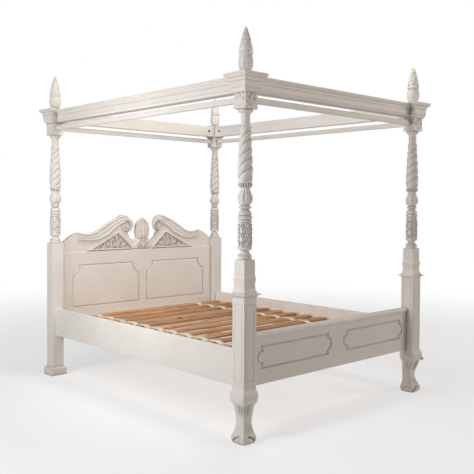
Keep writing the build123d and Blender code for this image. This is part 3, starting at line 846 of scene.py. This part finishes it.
def finial(corner):
    """An egg cup and a leafy cone, on a peg."""
    x, y = middle_of(f"{corner}_finial")
    outline = drawn(finial_steps[0], finial_steps[1:], turning_spacing)
    radius, height = outline[:, :1], outline[:, 1:]
    angle = all_round(columns_round)
    cup = fade(height, 164.8, 166.0) * (1 - fade(height, 169.4, 170.6))
    lobe = np.abs(np.sin(cup_lobes * angle / 2))
    radius = radius + cup * (0.20 * np.sqrt(lobe) - 0.2)
    islands = [turned_solid(x, y, radius, angle, height)]
    islands += leaves_round(x, y, outline, (172.8, 175.0, 177.2, 179.4), 7, 3.5, 2.4, 0.24, 0.06)
    islands.append(turned_solid(x, y, peg_radius, all_round(24), np.array([[peg_low], [peg_high]])))
    make_painted(f"{corner}_carved_finial", islands, CARVED, f"{corner}_finial",
                 f"finial_{corner}", 42)


for corner, (side_x, side_y) in CORNERS.items():
    if side_y < 0:
        foot_post(corner, side_x, side_y)
    upper_post(corner)
    finial(corner)


# ---- Pediment: swan necks, rosettes, foliage, plume and its base ----

board_front = box_mm("swan_neck_right")[1][1]
top_of_frame = box_mm("headboard_frame")[1][2]


def on_side(side_x):
    """The board's front on one side. Shapes are drawn as they are on the right-hand side."""
    return lambda s, h, d: np.stack([side_x * s, board_front - d, h], axis=-1)


on_board = on_side(1)

# Right-hand swan neck: its outer and its inner edge, from the thick end to the tip of the volute.
neck_outer = [
    [(49.2, 87.5), (41.5, 86.5, 35.0, 88.8)],
    [(35.0, 88.8), (27.2, 93.6, 20.2, 96.8)],
    [(20.2, 96.8), (16.0, 97.6, 11.6, 96.0)],
    [(11.6, 96.0), (8.3, 91.4, 12.6, 86.9)],
]
neck_inner = [
    [(49.0, 82.5), (45.7, 82.1), (40.0, 81.8), (36.4, 82.0, 33.0, 82.8)],
    [(33.0, 82.8), (26.3, 85.8), (22.3, 89.2, 17.0, 92.3)],
    [(17.0, 92.3), (13.6, 94.1)],
    [(13.6, 94.1), (10.1, 90.7, 14.2, 87.3)],
]
neck_rows = (44, 52, 26, 46)     # rows of the mesh on each stage of the two edges
neck_height = 1.6
scallop_phase = 58              # along the whole neck; the scallops show on its volute


def even_line(stages, counts):
    """Points along joined stages of an outline, a given number of them on each stage."""
    made = []
    for stage, count in zip(stages, counts):
        points = drawn(stage[0], stage[1:], 0.1)
        reach = np.concatenate([[0], np.cumsum(np.hypot(*np.diff(points, axis=0).T))])
        at = np.linspace(0, reach[-1], count, endpoint=False)
        made.append(np.stack([np.interp(at, reach, points[:, axis]) for axis in (0, 1)], axis=-1))
    made.append(points[-1:])
    return np.vstack(made)


def swan_neck(side_x):
    outer = even_line(neck_outer, neck_rows)
    inner = even_line(neck_inner, neck_rows)
    t = np.linspace(0, 1, len(outer))[:, None]
    # u is -1 on the inner edge and 1 on the outer edge.
    u = np.linspace(-1, 1, 61)[None, :]
    volute = fade(t, 0.55, 0.72)
    scallop = volute * (1 - fade(t, 0.93, 1.0)) * np.abs(np.sin(t * scallop_phase)) ** 0.7
    share = (u + 1) / 2 + 0.13 * scallop * (u > 0) * u
    edges_s = inner[:, :1] + (outer[:, :1] - inner[:, :1]) * share
    edges_h = inner[:, 1:] + (outer[:, 1:] - inner[:, 1:]) * share
    # Mouldings along the neck: an outer roll, a raised fillet in the middle and an inner roll.
    crown = np.sqrt(np.clip(1 - u ** 2, 0, 1))
    outer_roll = np.exp(-((u - 0.74) / 0.17) ** 2)
    inner_roll = np.exp(-((u + 0.76) / 0.16) ** 2)
    fillet = fade(0.24 - np.abs(u + 0.02), 0.0, 0.07)
    inset = np.exp(-((u + 0.02) / 0.1) ** 2)
    moulded = 0.70 + 0.75 * outer_roll + 0.62 * inner_roll + 0.55 * fillet - 0.22 * inset
    rolled = 0.55 + 0.95 * crown + 0.25 * np.cos(TURN * 1.2 * u)
    d = moulded * (1 - volute) + (rolled - 0.15 + 0.4 * scallop * fade(u, -0.2, 0.7)) * volute
    d = np.clip(d * fade(crown, -0.15, 0.4), 0.1, neck_height + 0.05)
    place = on_side(side_x)
    return [slab(place(edges_s, edges_h, d), place(edges_s, edges_h, np.zeros_like(d)))]


def lifted(place, rise):
    """The same surface, raised."""
    return lambda s, h, d: place(s, h, d + rise)


rosette_centre = np.array([13.5, 90.7])
rosette_petals = 7
# Profile of the rolled rim and the sunk ground of a rosette, in the form of DOME.
ROSE = [(1.0, 0.0), (1.0, 0.45), (0.93, 0.62), (0.82, 0.62), (0.72, 0.3), (0.5, 0.28), (0.02, 0.3)]


def rosette(side_x):
    """A flower in a rolled rim."""
    place = on_side(side_x)
    islands = [boss(place, rosette_centre, (2.95, 1.7), ROSE, columns=48)]
    for index in range(rosette_petals):
        angle = TURN * (index + 0.3) / rosette_petals
        out = np.array([math.cos(angle), math.sin(angle)])
        islands.append(leaf(lifted(place, 0.45), rosette_centre + 0.5 * out,
                            rosette_centre + 2.3 * out, 1.8, 0.6, 0.35, 1, 10, 9))
    islands.append(boss(place, rosette_centre, (0.85, 1.8)))
    return islands


# Outlines of the raised frame, outside and inside, and the carving in it.
foliage_outer = [(7.5, top_of_frame), (43.0, top_of_frame), (20.4, 87.1), (18.8, 87.1)]
foliage_inner = [(9.3, 76.5), (38.6, 76.5), (20.2, 86.0), (19.2, 86.0)]
fans = [
    # (root, longest strand, directions of the strands)
    ((20.4, 77.0), 8.6, (62, 76, 90, 104, 118)),
    ((24.6, 77.0), 6.0, (10, 30, 50, 72, 96, 122)),
    ((16.2, 77.0), 4.8, (38, 62, 86, 112, 138, 166)),
    ((30.2, 76.9), 4.4, (4, 22, 44, 70, 100, 132)),
    ((34.6, 76.9), 2.4, (8, 40, 90)),
    ((12.4, 76.8), 2.6, (40, 70, 110, 150)),
]


def around_outline(corners, per_edge=24):
    """Evenly spaced points on each edge of a closed outline."""
    corners = np.array(corners, float)
    share = np.linspace(0, 1, per_edge, endpoint=False)[None, :, None]
    ahead_of = np.roll(corners, -1, axis=0)
    return (corners[:, None] * (1 - share) + ahead_of[:, None] * share).reshape(-1, 2)


def reach_inside(corners, root, angle):
    """Distance from a root to the edge of a convex outline, in one direction."""
    ray = np.array([math.cos(angle), math.sin(angle)])
    reach = []
    for a, b in zip(np.array(corners), np.roll(corners, -1, axis=0)):
        edge, gap = b - a, a - root
        cross = ray[0] * edge[1] - ray[1] * edge[0]
        if abs(cross) > 1e-6:
            reach.append((gap[0] * edge[1] - gap[1] * edge[0]) / cross)
    return min(distance for distance in reach if distance > 0)


def foliage(side_x):
    """Curling strands over a sunk ground, in a raised frame."""
    place = on_side(side_x)
    outer = around_outline(foliage_outer)
    inner = around_outline(foliage_inner)
    middle = inner.mean(axis=0)
    rings = []
    # From one edge part of the way to another, at a height over the board.
    for start, end, share, depth in (
            (outer, inner, 0, -0.05), (outer, inner, 0, 0.75), (outer, inner, 0.25, 0.98),
            (outer, inner, 0.7, 0.98), (outer, inner, 1, 0.75), (outer, inner, 1, 0.1),
            (inner, middle, 0.5, 0.05), (inner, middle, 0.97, 0.05)):
        ring = start + (end - start) * share
        rings.append(place(ring[:, 0], ring[:, 1], np.full(len(ring), depth)))
    islands = [stacked(np.array(rings))]
    for root, longest, directions in fans:
        for index, angle in enumerate(directions):
            room = reach_inside(foliage_inner, np.array(root), math.radians(angle))
            reach = min(longest, 0.94 * room)
            bend = 95 * (-1) ** index
            islands.append(strand(place, root, angle - bend * 0.25, reach * 1.12, bend, 0.8, 1.0))
            islands.append(strand(place, root, angle + 9, reach * 0.6, -bend * 1.8, 0.6, 0.8))
    for centre in ((20.4, 79.4), (27.4, 78.6), (15.0, 78.4), (20.0, 83.0)):
        islands.append(boss(place, centre, (0.7, 1.15)))
    return islands


def relief(place, outline, height, back):
    """A cushioned solid between an outline of (half width, height) and its mirror image."""
    u = np.linspace(-1, 1, 33)[None, :]
    s = outline[:, :1] * u
    h = outline[:, 1:] * np.ones_like(u)
    d = height * (1 - u ** 6) ** 0.5 * np.ones_like(s)
    return slab(place(s, h, d), place(s, h, np.full_like(d, back)))


def plume():
    """A leafy plume with a flat foot: upright leaves side by side, the middle ones tallest."""
    foot = 82.5
    outline = drawn((4.6, 82.3), [(5.0, 84.2), (5.45, 88.5, 4.5, 92.4), (2.6, 94.4), (0.1, 95.9)],
                    0.3)
    islands = [relief(on_board, outline, 0.75, -1.9)]
    for side_x in (-1, 1):
        place = on_side(side_x)
        # Each of the outer leaves: where its foot and its tip are, and how far it is raised.
        for foot_x, tip, rise in ((4.0, (4.8, 90.6), 0.25), (3.4, (3.9, 93.4), 0.45),
                                  (1.7, (2.0, 95.4), 0.65)):
            islands.append(leaf(lifted(place, rise), (foot_x, foot), tip,
                                2.7, 0.75, 0.35, 5, 30, 11))
        islands.append(leaf(lifted(place, 0.8), (2.5, foot), (2.8, 89.4), 2.2, 0.7, 0.4, 4, 26, 11))
    islands.append(leaf(lifted(on_board, 0.8), (0, foot), (0, 96.7), 2.9, 0.85, 0.4, 5, 34, 11))
    islands.append(leaf(lifted(on_board, 1.2), (0, foot), (0, 90.0), 2.4, 0.6, 0.4, 4, 26, 11))
    return islands


def ornament_base():
    """A shell between two scrolls."""
    outline = drawn((6.8, 75.7), [(7.5, 77.4, 6.3, 79.0), (6.3, 80.9), (5.0, 82.3)], 0.3)
    islands = [relief(on_board, outline, 0.6, 0)]
    for side_x in (-1, 1):
        place = on_side(side_x)
        islands.append(strand(place, (1.6, 76.4), 8, 13.5, 560, 1.7, 1.55, 60, 9))
        islands.append(strand(place, (2.0, 81.6), -12, 9.0, -430, 1.3, 1.45, 44, 9))
        islands.append(leaf(lifted(place, 0.5), (0.9, 76.6), (2.3, 82.0), 2.0, 0.8, 0.3, 3))
    islands.append(leaf(lifted(on_board, 0.6), (0, 76.0), (0, 82.3), 2.2, 1.0, 0.4, 3))
    islands.append(boss(on_board, (0, 77.0), (1.1, 1.7)))
    return islands


for name, side_x in (("left", -1), ("right", 1)):
    make_painted(f"swan_neck_{name}_carved", swan_neck(side_x), SOFTER, f"swan_neck_{name}")
    make_painted(f"rosette_{name}_carved", rosette(side_x), CARVED, f"rosette_{name}")
    make_painted(f"foliage_{name}_carved", foliage(side_x), CARVED, f"foliage_{name}")
make_painted("centre_plume_carved", plume(), SOFTER, "centre_plume")
make_painted("ornament_base_carved", ornament_base(), CARVED, "ornament_base")


# ---- Slats and tapes ----

slat_count = 13
slat_pitch = 12.64
slat_width = 6.0
slat_thickness = 1.6
slat_rows = 60
slat_squareness = 0.28          # 1 would make the section an ellipse, and 0 a rectangle
chance = np.random.default_rng(7)
slat_low, slat_high = box_mm("slats")
slat_top = slat_high[2]
slat_middles = [(slat_low[1] + slat_high[1]) / 2 + (index - (slat_count - 1) / 2) * slat_pitch
                for index in range(slat_count)]


def slat(middle_y):
    """One slat: a planed strip with rounded edges and a slight bow."""
    angle = all_round(32)
    u = np.sign(np.cos(angle)) * np.abs(np.cos(angle)) ** slat_squareness
    v = np.sign(np.sin(angle)) * np.abs(np.sin(angle)) ** slat_squareness
    along = np.linspace(slat_low[0], slat_high[0], slat_rows)[:, None]
    reach = (along - slat_low[0]) / (slat_high[0] - slat_low[0])
    bow = 0.10 * chance.uniform(-1, 1) * np.sin(math.pi * reach)
    wear = 0.05 * chance.uniform(-1, 1, (slat_rows, 1))
    end = 1 - 0.06 * np.clip(np.abs(2 * reach - 1) - 0.985, 0, 1) / 0.015
    half_width = slat_width / 2 - 0.03
    half_depth = slat_thickness / 2 - 0.02
    y = middle_y + bow + u * (half_width + wear) * end
    z = slat_top - slat_thickness / 2 + v * half_depth * end
    return stacked(np.stack([along * np.ones_like(y), y, z], axis=-1))


slats = make_piece("slats_planed", [slat(y) for y in slat_middles], PINE, "slat_deck", "slats",
                   50)
# Each slat gets its own tone, which the material reads.
tones = chance.uniform(0, 1, slat_count)
points_per_slat = len(slats.data.vertices) // slat_count
tone = slats.data.attributes.new("tone", "FLOAT_COLOR", "POINT")
for index in range(slat_count):
    value = float(tones[index])
    for vertex in range(index * points_per_slat, (index + 1) * points_per_slat):
        tone.data[vertex].color = (value, value, value, 1.0)


def tape(name, wander):
    """A woven tape over all the slats, slack between them. wander is where its wave starts."""
    low, high = box_mm(f"slat_tape_{name}")
    along = np.linspace(low[1], high[1], 420)
    phase = (along - slat_middles[0]) / slat_pitch
    from_slat = np.abs(phase - np.round(phase)) * slat_pitch
    edge_of_slat = slat_width / 2 - 0.3
    slack = np.clip((from_slat - edge_of_slat) / (slat_pitch / 2 - edge_of_slat), 0, 1)
    sag = 0.85 * np.sin(slack * math.pi / 2) ** 1.4
    middle = (low[0] + high[0]) / 2 + 0.12 * np.sin(along * 0.21 + wander)
    u = np.linspace(-1, 1, 13)[None, :]
    half = (high[0] - low[0]) / 2
    x = middle[:, None] + u * half
    thick = 0.28 - 0.05 * u ** 2
    base = slat_top + 0.01 - sag[:, None]
    edge = 0.10 * u ** 2 * slack[:, None]
    y = along[:, None] * np.ones_like(x)
    upper = np.stack([x, y, base + thick + edge], axis=-1)
    lower = np.stack([x, y, base + edge], axis=-1)
    make_piece(f"slat_tape_{name}_woven", [slab(upper, lower)], WEBBING, "slat_deck",
               f"slat_tape_{name}", 60)


tape("left", 1)
tape("right", 2.3)


# ---- Floor and light ----

floor_mesh = bpy.data.meshes.new("floor")
floor_reach = 6.0
floor_corners = [(a * floor_reach, b * floor_reach, 0)
                 for a, b in ((-1, -1), (1, -1), (1, 1), (-1, 1))]
floor_mesh.from_pydata(floor_corners, [], [(0, 1, 2, 3)])
floor = bpy.data.objects.new("floor", floor_mesh)
bpy.context.scene.collection.objects.link(floor)
floor_material, floor_tree, floor_shader = new_material("pale_floor")
floor_link = floor_tree.links.new
floor_shader.inputs["Roughness"].default_value = 0.9
floor_shader.inputs["Specular IOR Level"].default_value = 0.1
mottle = noise(floor_tree, stretched(floor_tree, (1, 1, 1)), 3.0, 2.0)
floor_link(ramp(floor_tree, mottle, [(0.3, grey(0.90)), (0.7, grey(0.93))]),
           floor_shader.inputs["Base Color"])
# Away from the bed the floor fades into the white of the studio. It gives the bed less light than
# it shows, so that the undersides of the mouldings stay darker.
floor_glow = 0.5
floor_place = floor_tree.nodes.new("ShaderNodeTexCoord")
floor_radius = floor_tree.nodes.new("ShaderNodeVectorMath")
floor_radius.operation = "LENGTH"
floor_link(floor_place.outputs["Object"], floor_radius.inputs[0])
floor_fade = node(floor_tree, "ShaderNodeMapRange", From_Min=0.10, From_Max=0.55, To_Min=0.6)
floor_fade.interpolation_type = "SMOOTHSTEP"
floor_link(floor_radius.outputs["Value"], floor_fade.inputs["Value"])
floor_white = node(floor_tree, "ShaderNodeEmission")
floor_seen = floor_tree.nodes.new("ShaderNodeLightPath")
floor_strength = node(floor_tree, "ShaderNodeMapRange", To_Min=floor_glow, To_Max=1.0)
floor_link(floor_seen.outputs["Is Camera Ray"], floor_strength.inputs["Value"])
floor_link(floor_strength.outputs["Result"], floor_white.inputs["Strength"])
floor_mix = floor_tree.nodes.new("ShaderNodeMixShader")
floor_link(floor_fade.outputs["Result"], floor_mix.inputs["Fac"])
floor_link(floor_shader.outputs["BSDF"], floor_mix.inputs[1])
floor_link(floor_white.outputs["Emission"], floor_mix.inputs[2])
floor_link(floor_mix.outputs["Shader"], floor_tree.nodes["Material Output"].inputs["Surface"])
floor_mesh.materials.append(floor_material)

# The studio is white to look at, and gives no light.
world = bpy.data.worlds.new("studio")
bpy.context.scene.world = world
world.use_nodes = True
world_tree = world.node_tree
world_link = world_tree.links.new
unlit = world_tree.nodes["Background"]
unlit.inputs["Strength"].default_value = 0.0
backdrop = node(world_tree, "ShaderNodeBackground", Color=(1.0, 1.0, 1.0, 1.0), Strength=1.0)
seen = world_tree.nodes.new("ShaderNodeLightPath")
world_mix = world_tree.nodes.new("ShaderNodeMixShader")
world_link(seen.outputs["Is Camera Ray"], world_mix.inputs["Fac"])
world_link(unlit.outputs["Background"], world_mix.inputs[1])
world_link(backdrop.outputs["Background"], world_mix.inputs[2])
world_link(world_mix.outputs["Shader"], world_tree.nodes["World Output"].inputs["Surface"])

bed_middle = Vector((0, 0, 0.08))


def soft_light(name, place, size, power, colour):
    """A round soft light aimed at the middle of the bed."""
    data = bpy.data.lights.new(name, "AREA")
    data.shape = "DISK"
    data.size = size
    data.energy = power
    data.color = colour
    light = bpy.data.objects.new(name, data)
    light.location = place
    aim = bed_middle - Vector(place)
    light.rotation_euler = aim.to_track_quat("-Z", "Y").to_euler()
    light.visible_camera = False
    bpy.context.scene.collection.objects.link(light)


LIGHTS = [
    # (name, place, size, power, colour)
    ("left", (-0.50, -0.02, 0.35), 0.25, 1.16, (1.0, 0.985, 0.965)),
    ("left_low", (-0.28, -0.05, 0.12), 0.12, 0.10, (1.0, 0.95, 0.94)),
    ("left_near", (-0.12, 0.0, 0.10), 0.05, 0.045, (1.0, 0.97, 0.98)),
    ("over", (0.03, -0.05, 0.33), 0.14, 0.40, (1.0, 0.985, 0.96)),
    ("right", (0.65, -0.65, 0.35), 0.5, 3.0, (1.0, 0.86, 0.73)),
]
for values in LIGHTS:
    soft_light(*values)
bpy.context.scene.view_settings.view_transform = "Standard"
